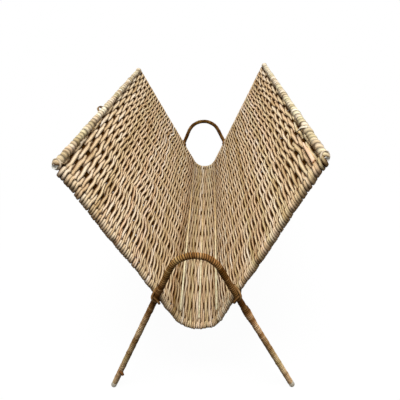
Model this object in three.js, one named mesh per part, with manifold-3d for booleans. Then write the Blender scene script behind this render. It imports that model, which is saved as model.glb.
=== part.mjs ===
import * as THREE from 'three';
import { mergeVertices } from 'three/addons/utils/BufferGeometryUtils.js';
import Module from 'manifold-3d';

// A woven cane magazine rack. A V-shaped woven sling hangs between two bound rails,
// and a bent hoop lashed across each end gives it two legs and a low arch.
// Millimetres, +Z up, +Y from the front end to the back end, origin on the floor
// below the middle of the rack.

// Sling, between rod centres
const slingLength = 460;
const railSpacing = 250;
const slingDepth = 217.5;
const slingBottomRadius = 29;
const slingBottomHeight = 101.5;
const stakeBays = 14;
const bendSteps = 8;

// Leg hoops, between rod centres
const footSpacing = 237;
const frontArchHeight = 215;
const frontArchRadius = 29;
const backArchHeight = 207;
const backArchRadius = 35;

// Rods, stakes and wires
const endRodRadius = 2.1;
const railRodRadius = 2.5;
const hoopRodRadius = 2.5;
const stakeWidth = 10.5;
const stakeFlatShare = 0.6;
const stakeThickness = 1.7;
const wireRadius = 1.15;
const railOverhang = 6.5;
const rodChamfer = 0.6;
const wireSetback = 8.5;
const rodSides = 8;

// Cane
const weaverThickness = 2.1;
const railCaneThickness = 1.5;
const railCaneGroove = 0.45;
const railTurns = 38;
const legCaneThickness = 1.1;
const legCaneGroove = 0.3;
const legTurns = 44;

// Lashings where a hoop crosses the sling's end
const lashingRadius = 1.1;
const lashingPitch = 2.8;
const lashingTurns = 2;
const lashingSteps = 24;
const lashingSides = 6;
const lashingSlack = 0.5;
const lashingSelfGap = 1;
const lashingSlotWall = 1.6;
const lashingFineness = 3;
const lashingPulls = 2000;
const pullShare = 0.6;

// Foot caps
const capWall = 0.9;
const capLength = 8;
const capFloor = 3;
const capChamfer = 0.5;
const capSides = 16;

// Gap between pieces that touch, and how far a cutting solid runs past what it cuts
const fitGap = 0.3;
const cutOverrun = 4;

// Sizes that follow from those above
const railHeight = slingBottomHeight + slingDepth;
const bayLength = slingLength / stakeBays;
const endBore = endRodRadius + fitGap;
const edgeRadius = endBore + weaverThickness;
const ribHalf = stakeThickness / 2 + fitGap + weaverThickness;
const railBore = railRodRadius + fitGap;
const railCaneRadius = railBore + railCaneThickness;
const hoopBore = hoopRodRadius + fitGap;
const legCaneRadius = hoopBore + legCaneThickness;
const hoopOffset = edgeRadius + fitGap + legCaneRadius;
const capRadius = hoopBore + capWall;

const wasm = await Module();
wasm.setup();

const acrossY = new THREE.Vector3(0, 1, 0);

// A rod bent in an XZ plane: two straight legs that run tangent into one round bend.
// Distances along it are measured from the left leg's untrimmed end.
class BentPath extends THREE.Curve {
  constructor({ span, endHeight, crownHeight, radius, y, trim }) {
    super();
    const rise = Math.sign(endHeight - crownHeight);
    const centreHeight = crownHeight + rise * radius;
    const drop = Math.abs(endHeight - centreHeight);
    const reach = Math.hypot(span / 2, drop);
    this.rise = rise;
    this.y = y;
    this.radius = radius;
    this.centreHeight = centreHeight;
    this.left = new THREE.Vector3(-span / 2, y, endHeight);
    this.lean = Math.atan2(span / 2, drop) - Math.asin(radius / reach);
    this.halfBend = Math.PI / 2 - this.lean;
    this.leg = Math.sqrt(reach ** 2 - radius ** 2);
    this.bend = 2 * radius * this.halfBend;
    this.length = 2 * this.leg + this.bend;
    this.stops = [trim];
    for (let step = 0; step <= bendSteps; step += 1) {
      this.stops.push(this.leg + (this.bend * step) / bendSteps);
    }
    this.stops.push(this.length - trim);
  }

  get steps() {
    return this.stops.length - 1;
  }

  directionAt(distance) {
    const angle = THREE.MathUtils.clamp(
      (distance - this.leg) / this.radius - this.halfBend,
      -this.halfBend,
      this.halfBend,
    );
    return new THREE.Vector3(Math.cos(angle), 0, this.rise * Math.sin(angle));
  }

  placeAt(distance) {
    if (distance <= this.leg) {
      return this.left.clone().addScaledVector(this.directionAt(0), distance);
    }
    if (distance >= this.leg + this.bend) {
      const right = new THREE.Vector3(-this.left.x, this.y, this.left.z);
      return right.addScaledVector(this.directionAt(this.length), distance - this.length);
    }
    const angle = (distance - this.leg) / this.radius - this.halfBend;
    const height = this.centreHeight - this.rise * this.radius * Math.cos(angle);
    return new THREE.Vector3(this.radius * Math.sin(angle), this.y, height);
  }

  distanceAt(t) {
    const place = t * this.steps;
    const stop = Math.min(Math.floor(place), this.steps - 1);
    return THREE.MathUtils.lerp(this.stops[stop], this.stops[stop + 1], place - stop);
  }

  getPoint(t, target = new THREE.Vector3()) {
    return target.copy(this.placeAt(this.distanceAt(t)));
  }

  getPointAt(t, target) {
    return this.getPoint(t, target);
  }

  getTangent(t, target = new THREE.Vector3()) {
    return target.copy(this.directionAt(this.distanceAt(t)));
  }

  getTangentAt(t, target) {
    return this.getTangent(t, target);
  }
}

function slingPath(y, trim) {
  return new BentPath({
    span: railSpacing,
    endHeight: railHeight,
    crownHeight: slingBottomHeight,
    radius: slingBottomRadius,
    y,
    trim,
  });
}

function hoopPath(end, y, trim) {
  return new BentPath({
    span: footSpacing,
    endHeight: 0,
    crownHeight: end === 'front' ? frontArchHeight : backArchHeight,
    radius: end === 'front' ? frontArchRadius : backArchRadius,
    y,
    trim,
  });
}

// Sections and plain solids

function ringPoints(radius, sides, x = 0, y = 0) {
  const points = [];
  for (let side = 0; side < sides; side += 1) {
    const angle = (2 * Math.PI * side) / sides;
    points.push(new THREE.Vector2(x + radius * Math.cos(angle), y + radius * Math.sin(angle)));
  }
  return points;
}

// A flat cane's section with sloping edges, grown by a margin on every side
function stakePoints(margin, x = 0) {
  const flat = (stakeFlatShare * stakeWidth) / 2;
  const slope = Math.atan2(stakeThickness / 2, stakeWidth / 2 - flat);
  const top = stakeThickness / 2 + margin;
  const corner = flat + margin * Math.tan(slope / 2);
  const tip = stakeWidth / 2 + margin / Math.sin(slope);
  return [
    new THREE.Vector2(x + tip, 0),
    new THREE.Vector2(x + corner, top),
    new THREE.Vector2(x - corner, top),
    new THREE.Vector2(x - tip, 0),
    new THREE.Vector2(x - corner, -top),
    new THREE.Vector2(x + corner, -top),
  ];
}

function sweep(shape, path, steps) {
  return new THREE.ExtrudeGeometry(shape, { steps, extrudePath: path, bevelEnabled: false });
}

function bentRod(radius, path) {
  return sweep(new THREE.Shape(ringPoints(radius, rodSides)), path, path.steps);
}

// A straight rod along Y with its ends chamfered
function straightRod(radius, length, chamfer) {
  const profile = [
    new THREE.Vector2(0, -length / 2),
    new THREE.Vector2(radius - chamfer, -length / 2),
    new THREE.Vector2(radius, chamfer - length / 2),
    new THREE.Vector2(radius, length / 2 - chamfer),
    new THREE.Vector2(radius - chamfer, length / 2),
    new THREE.Vector2(0, length / 2),
  ];
  return new THREE.LatheGeometry(profile, rodSides);
}

function toSolid(geometry) {
  const bare = geometry.clone();
  bare.deleteAttribute('normal');
  bare.deleteAttribute('uv');
  const merged = mergeVertices(bare);
  return new wasm.Manifold(new wasm.Mesh({
    numProp: 3,
    vertProperties: new Float32Array(merged.attributes.position.array),
    triVerts: new Uint32Array(merged.index.array),
  }));
}

function toGeometry(solid) {
  const mesh = solid.getMesh();
  const geometry = new THREE.BufferGeometry();
  geometry.setAttribute('position', new THREE.BufferAttribute(mesh.vertProperties, mesh.numProp));
  geometry.setIndex(new THREE.BufferAttribute(mesh.triVerts, 1));
  return geometry;
}

// Cane bound round a rod: a sleeve whose outside rises and falls once a turn

function sleeve(outerRings, boreRings, sides) {
  const rings = [...outerRings, ...[...boreRings].reverse()];
  const positions = [];
  for (const { centre, direction, across, radius } of rings) {
    const upright = new THREE.Vector3().crossVectors(direction, across);
    for (const { x, y } of ringPoints(radius, sides)) {
      const point = centre.clone().addScaledVector(across, x).addScaledVector(upright, y);
      positions.push(...point);
    }
  }
  const index = [];
  for (let ring = 0; ring < rings.length; ring += 1) {
    const here = ring * sides;
    const next = ((ring + 1) % rings.length) * sides;
    for (let side = 0; side < sides; side += 1) {
      const turn = (side + 1) % sides;
      index.push(here + side, here + turn, next + turn);
      index.push(here + side, next + turn, next + side);
    }
  }
  const geometry = new THREE.BufferGeometry();
  geometry.setAttribute('position', new THREE.Float32BufferAttribute(positions, 3));
  geometry.setIndex(index);
  return geometry;
}

function caneSleeve({ ringAt, start, end, boreStops, turns, crest, groove, bore, sides }) {
  const outer = [];
  for (let half = 0; half <= 2 * turns; half += 1) {
    const radius = half % 2 ? crest : crest - groove;
    outer.push(ringAt(THREE.MathUtils.lerp(start, end, half / (2 * turns)), radius));
  }
  const inner = boreStops.map((stop) => ringAt(stop, bore));
  return sleeve(outer, inner, sides);
}

function railBinding() {
  const end = slingLength / 2 - endRodRadius - fitGap;
  const across = new THREE.Vector3(1, 0, 0);
  const ringAt = (place, radius) => (
    { centre: new THREE.Vector3(0, place, 0), direction: acrossY, across, radius });
  return caneSleeve({
    ringAt,
    start: -end,
    end,
    boreStops: [-end, end],
    turns: railTurns,
    crest: railCaneRadius,
    groove: railCaneGroove,
    bore: railBore,
    sides: rodSides,
  });
}

function legBinding(end) {
  const trim = capLength + fitGap;
  const path = hoopPath(end, 0, trim);
  const ringAt = (distance, radius) => ({
    centre: path.placeAt(distance),
    direction: path.directionAt(distance),
    across: acrossY,
    radius,
  });
  return caneSleeve({
    ringAt,
    start: trim,
    end: path.length - trim,
    boreStops: path.stops,
    turns: legTurns,
    crest: legCaneRadius,
    groove: legCaneGroove,
    bore: hoopBore,
    sides: rodSides,
  });
}

// The woven sling. Its section along Y swells over each stake, thins to one weaver
// halfway between two stakes, and rolls round the rod at each end.

function slingHalfThickness(share, crest) {
  return weaverThickness / 2 + (crest - weaverThickness / 2) * Math.cos(Math.PI * share);
}

function slingFace() {
  const face = [];
  const steps = 4;
  for (let place = 0; place <= stakeBays * steps; place += 1) {
    const stake = Math.round(place / steps);
    const crest = stake % stakeBays ? ribHalf : edgeRadius;
    const share = Math.abs(place / steps - stake);
    const along = place * (bayLength / steps) - slingLength / 2;
    face.push(new THREE.Vector2(along, slingHalfThickness(share, crest)));
  }
  return face;
}

function edgeRoll(side) {
  const rollSteps = 6;
  const roll = [];
  for (let step = 1; step < rollSteps; step += 1) {
    const angle = Math.PI / 2 - (Math.PI * step) / rollSteps;
    const along = side * (slingLength / 2 + edgeRadius * Math.cos(angle));
    roll.push(new THREE.Vector2(along, side * edgeRadius * Math.sin(angle)));
  }
  return roll;
}

function stakePlaces() {
  const places = [];
  for (let stake = 1; stake < stakeBays; stake += 1) {
    places.push(stake * bayLength - slingLength / 2);
  }
  return places;
}

function slingSection() {
  const inside = slingFace();
  const outside = slingFace().reverse().map((point) => new THREE.Vector2(point.x, -point.y));
  const section = new THREE.Shape([...inside, ...edgeRoll(1), ...outside, ...edgeRoll(-1)]);
  for (const place of stakePlaces()) {
    section.holes.push(new THREE.Path(stakePoints(fitGap, place)));
  }
  for (const end of [-slingLength / 2, slingLength / 2]) {
    section.holes.push(new THREE.Path(ringPoints(endBore, rodSides, end)));
  }
  return section;
}

// Where a hoop's leg crosses the sling's side, seen from the end, and how both lean
function crossing(end) {
  const side = slingPath(0, 0).lean;
  const leg = hoopPath(end, 0, 0).lean;
  const rise = footSpacing / 2 - railSpacing / 2 + railHeight * Math.tan(side);
  const height = rise / (Math.tan(side) + Math.tan(leg));
  return { x: footSpacing / 2 - height * Math.tan(leg), height, side, leg };
}

// The opening between weavers that a lashing passes through
function lashingSlot(end, endways, sideways) {
  const { x, height, side } = crossing(end);
  const width = 2 * (lashingRadius + fitGap);
  const length = lashingTurns * lashingPitch + width;
  const y = slingLength / 2 - endBore - lashingSlotWall - width / 2;
  const slot = new THREE.BoxGeometry(2 * (edgeRadius + cutOverrun), width, length);
  slot.rotateY(sideways * side);
  slot.translate(sideways * x, endways * y, height);
  return slot;
}

function wovenSling() {
  const path = slingPath(0, railCaneRadius + fitGap);
  let solid = toSolid(sweep(slingSection(), path, path.steps));
  for (const [end, endways] of ends) {
    for (const [, sideways] of sides) {
      solid = solid.subtract(toSolid(lashingSlot(end, endways, sideways)));
    }
  }
  return toGeometry(solid);
}

// Lashings: one unbroken cane that goes from the slot round the hoop and back, twice.
// Its route is worked out from the crossing on the V rod: x outward, y toward the hoop.

function lashingFrame(end) {
  const { side, leg } = crossing(end);
  const edgeReach = edgeRadius + lashingSlack + lashingRadius;
  const hoopReach = legCaneRadius + lashingSlack + lashingRadius;
  const spread = Math.sin(side + leg);
  return {
    edgeReach,
    hoopReach,
    alongEdge: new THREE.Vector3(Math.sin(side), 0, Math.cos(side)),
    offEdge: new THREE.Vector3(-Math.cos(side), 0, Math.sin(side)),
    offHoop: new THREE.Vector3(Math.cos(leg), 0, Math.sin(leg)),
    forkX: (hoopReach * Math.sin(side) - edgeReach * Math.sin(leg)) / spread,
    forkHeight: (edgeReach * Math.cos(leg) + hoopReach * Math.cos(side)) / spread,
    slotY: -(endBore + lashingSlotWall + fitGap + lashingRadius),
  };
}

function straightRun(corners, steps) {
  return new THREE.CatmullRomCurve3(corners, false, 'catmullrom', 0).getSpacedPoints(steps);
}

// The cane laid loosely: each turn enters the slot on its outer face, comes out under the
// fork of rod and hoop, and returns over it. Only the stretches inside the slot are held.
function looseLashing(frame) {
  const slotSteps = 2 * lashingFineness;
  const openSteps = lashingFineness * lashingSteps - 2 * slotSteps;
  const front = hoopOffset + frame.hoopReach;
  const slotPlace = (turn, face) => new THREE.Vector3(0, frame.slotY, 0)
    .addScaledVector(frame.alongEdge, lashingPitch * (turn - lashingTurns / 2))
    .addScaledVector(frame.offEdge, face * frame.edgeReach);
  const route = [{ point: slotPlace(0, 0), held: true }];
  const lay = (corners, steps, held) => {
    for (const point of straightRun(corners, steps).slice(1)) {
      route.push({ point, held });
    }
    route[route.length - 1].held = true;
  };
  for (let turn = 0; turn < lashingTurns; turn += 1) {
    const raise = (2 * lashingRadius + lashingSelfGap) * (turn - (lashingTurns - 1) / 2);
    const fork = (side, y) => new THREE.Vector3(
      side * frame.forkX,
      y,
      side * frame.forkHeight + raise,
    );
    const out = slotPlace(turn, -1);
    const back = slotPlace(turn + 1, 1);
    lay([slotPlace(turn, 0), out], slotSteps, true);
    lay([out, fork(-1, 0), fork(-1, front), fork(1, front), fork(1, 0), back], openSteps, false);
    lay([back, slotPlace(turn + 1, 0)], slotSteps, true);
  }
  return route;
}

// Moves a point out of a round bar, where it lies nearer than reach to the bar's middle
function pushOff(point, off, ahead, reach) {
  const sideways = point.dot(off);
  const distance = Math.hypot(sideways, ahead);
  if (distance < reach) {
    const excess = reach / distance - 1;
    point.addScaledVector(off, sideways * excess);
    point.y += ahead * excess;
  }
}

function pushTurnsApart(route) {
  const apart = 2 * lashingRadius + lashingSelfGap;
  const halfTurn = (lashingFineness * lashingSteps) / 2;
  for (let here = 0; here < route.length; here += 1) {
    for (let there = here + halfTurn; there < route.length; there += 1) {
      const distance = route[here].point.distanceTo(route[there].point);
      if (distance < apart) {
        const shift = route[there].point.clone().sub(route[here].point);
        shift.setLength((apart - distance) / 2);
        route[here].point.addScaledVector(shift, route[here].held ? 0 : -1);
        route[there].point.addScaledVector(shift, route[there].held ? 0 : 1);
      }
    }
  }
}

// Pulls the cane tight: each free point is drawn toward the middle of its neighbours, then
// pushed off the other turns, the sling's rolled edge and the hoop.
function tightLashing(end) {
  const frame = lashingFrame(end);
  const route = looseLashing(frame);
  const free = route.map((stop, index) => index).filter((index) => !route[index].held);
  for (let pull = 0; pull < lashingPulls; pull += 1) {
    const middles = free.map((index) => (
      route[index - 1].point.clone().lerp(route[index + 1].point, 1 / 2)));
    free.forEach((index, order) => route[index].point.lerp(middles[order], pullShare));
    pushTurnsApart(route);
    for (const index of free) {
      const { point } = route[index];
      pushOff(point, frame.offEdge, Math.max(point.y, 0), frame.edgeReach);
      pushOff(point, frame.offHoop, point.y - hoopOffset, frame.hoopReach);
    }
  }
  return route.map((stop) => stop.point);
}

function leastGapToItself(path) {
  const turnSteps = 4 * lashingSteps;
  const steps = lashingTurns * turnSteps;
  const points = straightRun(path.getSpacedPoints(lashingTurns * lashingSteps), steps);
  let least = Infinity;
  for (let here = 0; here <= steps; here += 1) {
    for (let there = here + turnSteps / 2; there <= steps; there += 1) {
      least = Math.min(least, points[here].distanceTo(points[there]));
    }
  }
  return least - 2 * lashingRadius;
}

function lashing(points, sideways, endways) {
  const mirror = new THREE.Vector3(sideways, endways, 1);
  const path = new THREE.CatmullRomCurve3(points.map((point) => point.clone().multiply(mirror)));
  path.arcLengthDivisions = 2 * points.length;
  console.log(`lashing: least gap to itself ${leastGapToItself(path).toFixed(2)} mm`);
  const section = new THREE.Shape(ringPoints(lashingRadius, lashingSides));
  return sweep(section, path, lashingTurns * lashingSteps);
}

// Foot caps: a blind socket on each leg's end, cut level where it stands

function footCap(end) {
  const profile = [
    new THREE.Vector2(0, -cutOverrun),
    new THREE.Vector2(capRadius, -cutOverrun),
    new THREE.Vector2(capRadius, capLength - capChamfer),
    new THREE.Vector2(capRadius - capChamfer, capLength),
    new THREE.Vector2(hoopBore, capLength),
    new THREE.Vector2(hoopBore, capFloor),
    new THREE.Vector2(0, capFloor),
  ];
  const socket = new THREE.LatheGeometry(profile, capSides);
  socket.rotateX(Math.PI / 2);
  socket.rotateY(-hoopPath(end, 0, 0).lean);
  const ground = new THREE.BoxGeometry(4 * cutOverrun, 4 * cutOverrun, 2 * cutOverrun);
  ground.translate(0, 0, -cutOverrun);
  return toGeometry(toSolid(socket).subtract(toSolid(ground)));
}

// Materials

const weaverCane = new THREE.MeshStandardMaterial({ color: 0xc9a77c, roughness: 0.75 });
const railCane = new THREE.MeshStandardMaterial({ color: 0xcfb684, roughness: 0.5 });
const legCane = new THREE.MeshStandardMaterial({ color: 0x9a7448, roughness: 0.6 });
const stakeCane = new THREE.MeshStandardMaterial({ color: 0x7d5c3a, roughness: 0.8 });
const steelRod = new THREE.MeshStandardMaterial({ color: 0x8d8d88, roughness: 0.5, metalness: 0.9 });
const paleWire = new THREE.MeshStandardMaterial({ color: 0xe3dcc4, roughness: 0.5 });
const capPlastic = new THREE.MeshStandardMaterial({ color: 0xc4bfb1, roughness: 0.6 });

const rack = new THREE.Group();

function place(name, geometry, material, x = 0, y = 0, z = 0) {
  const mesh = new THREE.Mesh(geometry, material);
  mesh.name = name;
  mesh.position.set(x, y, z);
  rack.add(mesh);
  return mesh;
}

const ends = [['front', -1], ['back', 1]];
const sides = [['left', -1], ['right', 1]];

function addRails() {
  const length = slingLength + 2 * railOverhang;
  for (const [side, sideways] of sides) {
    const x = (sideways * railSpacing) / 2;
    const rod = straightRod(railRodRadius, length, rodChamfer);
    place(`${side}_rail_rod`, rod, steelRod, x, 0, railHeight);
    place(`${side}_rail_binding`, railBinding(), railCane, x, 0, railHeight);
  }
}

function addSling() {
  place('woven_sling', wovenSling(), weaverCane);
  const stakePath = slingPath(0, railCaneRadius + fitGap);
  for (const [index, y] of stakePlaces().entries()) {
    const name = `stake_${String(index + 1).padStart(2, '0')}`;
    const section = new THREE.Shape(stakePoints(0));
    place(name, sweep(section, stakePath, stakePath.steps), stakeCane, 0, y);
  }
  const endPath = slingPath(0, railRodRadius + fitGap);
  for (const [end, endways] of ends) {
    const rod = bentRod(endRodRadius, endPath);
    place(`${end}_v_rod`, rod, steelRod, 0, (endways * slingLength) / 2);
  }
}

// Three wires lie inside the bend: one along the bottom, one where each side begins
function addBottomWires() {
  const path = slingPath(0, 0);
  const length = slingLength - 2 * wireSetback;
  const lift = ribHalf + fitGap + wireRadius;
  for (const [name, turn] of [['left', -1], ['centre', 0], ['right', 1]]) {
    const angle = turn * path.halfBend;
    const x = (slingBottomRadius - lift) * Math.sin(angle);
    const z = path.centreHeight - (slingBottomRadius - lift) * Math.cos(angle);
    const wire = straightRod(wireRadius, length, wireRadius / 2);
    place(`bottom_wire_${name}`, wire, paleWire, x, 0, z);
  }
}

function addHoops() {
  for (const [end, endways] of ends) {
    const path = hoopPath(end, 0, capFloor + fitGap);
    const y = endways * (slingLength / 2 + hoopOffset);
    place(`${end}_leg_hoop`, bentRod(hoopRodRadius, path), steelRod, 0, y);
    place(`${end}_leg_binding`, legBinding(end), legCane, 0, y);
    for (const [side, sideways] of sides) {
      const cap = place(`foot_cap_${end}_${side}`, footCap(end), capPlastic);
      cap.position.set((sideways * footSpacing) / 2, y, 0);
      cap.rotation.z = sideways < 0 ? Math.PI : 0;
    }
  }
}

function addLashings() {
  for (const [end, endways] of ends) {
    const { x, height } = crossing(end);
    const points = tightLashing(end);
    for (const [side, sideways] of sides) {
      const wrap = place(`lashing_${end}_${side}`, lashing(points, sideways, endways), legCane);
      wrap.position.set(sideways * x, (endways * slingLength) / 2, height);
    }
  }
}

addRails();
addSling();
addBottomWires();
addHoops();
addLashings();

export default rack;
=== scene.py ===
import math

import bpy
import numpy as np
from mathutils import Matrix, Vector


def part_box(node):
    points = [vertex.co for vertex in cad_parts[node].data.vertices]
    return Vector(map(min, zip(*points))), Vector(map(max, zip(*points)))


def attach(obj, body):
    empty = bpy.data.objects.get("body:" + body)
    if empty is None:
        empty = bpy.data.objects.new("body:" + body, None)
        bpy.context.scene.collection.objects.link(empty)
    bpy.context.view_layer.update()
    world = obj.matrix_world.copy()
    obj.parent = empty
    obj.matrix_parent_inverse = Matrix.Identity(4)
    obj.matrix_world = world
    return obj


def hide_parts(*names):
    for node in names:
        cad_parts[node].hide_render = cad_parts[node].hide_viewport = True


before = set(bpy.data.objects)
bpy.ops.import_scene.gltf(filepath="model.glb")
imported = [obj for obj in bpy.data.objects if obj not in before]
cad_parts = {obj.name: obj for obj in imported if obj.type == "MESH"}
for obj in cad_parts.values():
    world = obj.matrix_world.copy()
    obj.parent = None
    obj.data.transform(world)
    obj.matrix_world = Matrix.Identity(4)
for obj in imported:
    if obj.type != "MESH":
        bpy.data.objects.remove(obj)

# A woven cane magazine rack. Lengths are in metres, and the values here are written in
# millimetres times MM. +Z is up and +Y runs from the front end to the back end.
MM = 0.001
TURN = 2 * math.pi
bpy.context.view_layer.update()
ENDS = (("front", -1), ("back", 1))
SIDES = (("left", -1), ("right", 1))

# Sling, between rod centres
SLING_LENGTH = 460 * MM
RAIL_SPACING = 250 * MM
RAIL_HEIGHT = 319 * MM
SLING_BOTTOM = 101.5 * MM
SLING_RADIUS = 29 * MM
BAYS = 14
BAY = SLING_LENGTH / BAYS
HALF = SLING_LENGTH / 2

# Leg hoops, between rod centres
FOOT_SPACING = 237 * MM
ARCHES = {"front": (215 * MM, 29 * MM), "back": (207 * MM, 35 * MM)}
HOOP_Y = 238.7 * MM
ROD = 2.5 * MM

# Weave. A strand's width is given where it passes a stake on the inner face, between stakes,
# where it passes one on the outer face, and round the end rods
WEAVER_PITCH = 3.17 * MM
COARSER_BY_RAILS = 0.32
FINER_AT_BOTTOM = 0.12
INNER_WIDTH = 4.3 * MM
WAIST_WIDTH = 4.8 * MM
OUTER_WIDTH = 6.3 * MM
EDGE_WIDTH = 3.5 * MM
LOW_EXTRA_WIDTH = 0.6 * MM
WEAVER_THICKNESS = 2.2 * MM
WEAVER_LIFT = 1.8 * MM
EDGE_LIFT = 3.1 * MM
EDGE_SLANT = 2.2 * MM
EDGE_FULLER = 0.6
CORNER_FULLER = 0.9
RIM_WANDER = 0.7 * MM
LOW_RIM_WANDER = 0.5 * MM
WEAVE_START = 4.4 * MM
DRAWN_IN = 1.6 * MM
ROW_SHIFT = 0.4 * MM
LOOSENESS = 0.3 * MM
LOOSER_BY_RAILS = 0.25 * MM
WRAP_TURNS = 1.5
BAY_STEPS = 8
WRAP_STEPS = 24
WEAVER_SIDES = 8
STAKE_WIDTH = 10.5 * MM
STAKE_THICKNESS = 1.7 * MM

# Bindings and foot caps
RAIL_CANE = 1.5 * MM
RAIL_BULK = 3.2 * MM
RAIL_TURNS = (7 * MM, 13 * MM)
RAIL_SWELL = (0.2 * MM, 0.8 * MM)
RAIL_LUMPS = 0.28 * MM
LEG_CANE = 1.15 * MM
LEG_TURNS = (2.1 * MM, 3.0 * MM)
LEG_LUMPS = 0.16 * MM
SECOND_LAYER = 1.0 * MM
SECOND_LAYER_TOP = 140 * MM
STRIP_TILT = 0.12
STRIP_OVERLAP = 1.03
CAP_LENGTH = 8 * MM
CAP_RADIUS = 3.7 * MM


class Bend:
    """Two straight legs and one round bend in an XZ plane. Distances run from the left end."""

    def __init__(self, span, end_height, crown_height, radius):
        self.rise = math.copysign(1, end_height - crown_height)
        self.centre = crown_height + self.rise * radius
        drop = abs(end_height - self.centre)
        reach = math.hypot(span / 2, drop)
        self.radius = radius
        self.lean = math.atan2(span / 2, drop) - math.asin(radius / reach)
        self.half = math.pi / 2 - self.lean
        self.leg = math.sqrt(reach ** 2 - radius ** 2)
        self.bend = 2 * radius * self.half
        self.length = 2 * self.leg + self.bend

    def angle(self, s):
        return np.clip((s - self.leg) / self.radius - self.half, -self.half, self.half)

    def along(self, s):
        a = self.angle(s)
        return np.stack([np.cos(a), 0 * a, self.rise * np.sin(a)], -1)

    def across(self, s):
        a = self.angle(s)
        return np.stack([-self.rise * np.sin(a), 0 * a, np.cos(a)], -1)

    def at(self, s):
        a = self.angle(s)
        height = self.centre - self.rise * self.radius * np.cos(a)
        on_bend = np.stack([self.radius * np.sin(a), 0 * a, height], -1)
        past = np.minimum(s - self.leg, 0) + np.maximum(s - self.leg - self.bend, 0)
        return on_bend + past[..., None] * self.along(s)


SLING = Bend(RAIL_SPACING, RAIL_HEIGHT, SLING_BOTTOM, SLING_RADIUS)
HOOPS = {end: Bend(FOOT_SPACING, 0.0, height, radius) for end, (height, radius) in ARCHES.items()}


def from_rails(s):
    """How far a place on the sling is from the nearer rail."""
    return np.minimum(s, SLING.length - s)


# Small tools

def smooth(low, high, value):
    t = np.clip((value - low) / (high - low), 0, 1)
    return t * t * (3 - 2 * t)


def ripple(seed, longest, shortest, waves=5):
    """A smooth wandering function of one length, about -1 to 1."""
    rng = np.random.default_rng(seed)
    lengths = np.geomspace(longest, shortest, waves)
    phases = rng.uniform(0, TURN, waves)
    sizes = rng.uniform(0.6, 1.0, waves)
    sizes /= np.sqrt((sizes ** 2).sum())

    def value(x):
        x = np.asarray(x, float)[..., None]
        return (sizes * np.sin(TURN * x / lengths + phases)).sum(-1)

    return value


def unit(vectors):
    return vectors / np.linalg.norm(vectors, axis=-1, keepdims=True)


def linear(red, green, blue):
    """A colour as a screen shows it, in 0 to 255, as the linear colour that nodes take."""
    shares = [value / 255 for value in (red, green, blue)]
    straight = [v / 12.92 if v <= 0.04045 else ((v + 0.055) / 1.055) ** 2.4 for v in shares]
    return (*straight, 1.0)


# Meshes

def ellipse(sides, fullness=1.0):
    turns = np.arange(sides) / sides * TURN
    ring = np.stack([np.cos(turns), np.sin(turns)], -1)
    return np.sign(ring) * np.abs(ring) ** fullness


# A strip of cane seen end on: flat below, crowned above
STRIP = np.array([(1, -0.9), (1, -0.2), (0.84, 0.42), (0.5, 0.84), (0, 1), (-0.5, 0.84),
                  (-0.84, 0.42), (-1, -0.2), (-1, -0.9)])


def make_piece(name, vertices, faces, material, nodes, attributes=None):
    mesh = bpy.data.meshes.new(name)
    mesh.from_pydata(vertices.tolist(), [], faces)
    mesh.polygons.foreach_set("use_smooth", np.ones(len(mesh.polygons), bool))
    for key, values in (attributes or {}).items():
        vector = values.ndim == 2
        kind = "FLOAT_VECTOR" if vector else "FLOAT"
        layer = mesh.attributes.new(key, kind, "POINT")
        layer.data.foreach_set("vector" if vector else "value", values.astype(np.float32).ravel())
    mesh.materials.append(material)
    mesh.update()
    piece = bpy.data.objects.new(name, mesh)
    bpy.context.scene.collection.objects.link(piece)
    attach(piece, "root")
    if nodes:
        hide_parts(*nodes)
    return piece


def tube_faces(rings, sides, first=0, closed=False):
    ring = np.arange(rings if closed else rings - 1)[:, None]
    side = np.arange(sides)[None, :]
    here, there = ring * sides, (ring + 1) % rings * sides
    turned = (side + 1) % sides
    quads = np.stack([here + side, here + turned, there + turned, there + side], -1)
    faces = (quads.reshape(-1, 4) + first).tolist()
    if not closed:
        faces.append([first + n for n in range(sides)][::-1])
        faces.append([first + (rings - 1) * sides + n for n in range(sides)])
    return faces


def swept(centres, wide, half_width, half_thickness, section):
    """Vertices of a band or strand along centres, wide being the way its width points."""
    tangent = unit(np.gradient(centres, axis=0))
    wide = unit(wide - (wide * tangent).sum(-1, keepdims=True) * tangent)
    thick = np.cross(tangent, wide)
    across = section[None, :, 0, None] * (half_width[:, None, None] * wide[:, None, :])
    up = section[None, :, 1, None] * (half_thickness[:, None, None] * thick[:, None, :])
    return centres[:, None, :] + across + up, across, up


def run_length(centres):
    steps = np.linalg.norm(np.diff(centres, axis=0), axis=1)
    return np.concatenate([[0], np.cumsum(steps)])


def strand_attributes(centres, section, half_width, half_thickness, tone, hue, painted_light_share,
                      start=0.0, crease=None):
    """What a strand's material needs: place along and across it, tone, tint, its share of painted
    light against painted shade, and how far from its middle the next strand covers it."""
    run = run_length(centres) + start
    shape = (len(centres), len(section))
    if crease is None:
        crease = half_width
    grain = np.stack([
        np.broadcast_to(run[:, None], shape),
        section[None, :, 0] * half_width[:, None],
        section[None, :, 1] * half_thickness[:, None],
    ], -1)
    return {
        "grain": grain.reshape(-1, 3),
        "tone": np.broadcast_to(tone[:, None], shape).ravel(),
        "hue": np.broadcast_to(hue[:, None], shape).ravel(),
        "painted_light": np.broadcast_to(painted_light_share, shape).ravel(),
        "crease": np.broadcast_to(crease[:, None], shape).ravel(),
    }


# Materials

def node(tree, kind, inputs=None, **settings):
    made = tree.nodes.new(kind)
    for key, value in settings.items():
        setattr(made, key, value)
    for key, value in (inputs or {}).items():
        if isinstance(value, bpy.types.NodeSocket):
            tree.links.new(value, made.inputs[key])
        else:
            made.inputs[key].default_value = value
    return made


def new_material(name):
    material = bpy.data.materials.new(name)
    material.use_nodes = True
    tree = material.node_tree
    tree.nodes.clear()
    shader = node(tree, "ShaderNodeBsdfPrincipled")
    node(tree, "ShaderNodeOutputMaterial", {"Surface": shader.outputs[0]})
    return material, tree, shader


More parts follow.
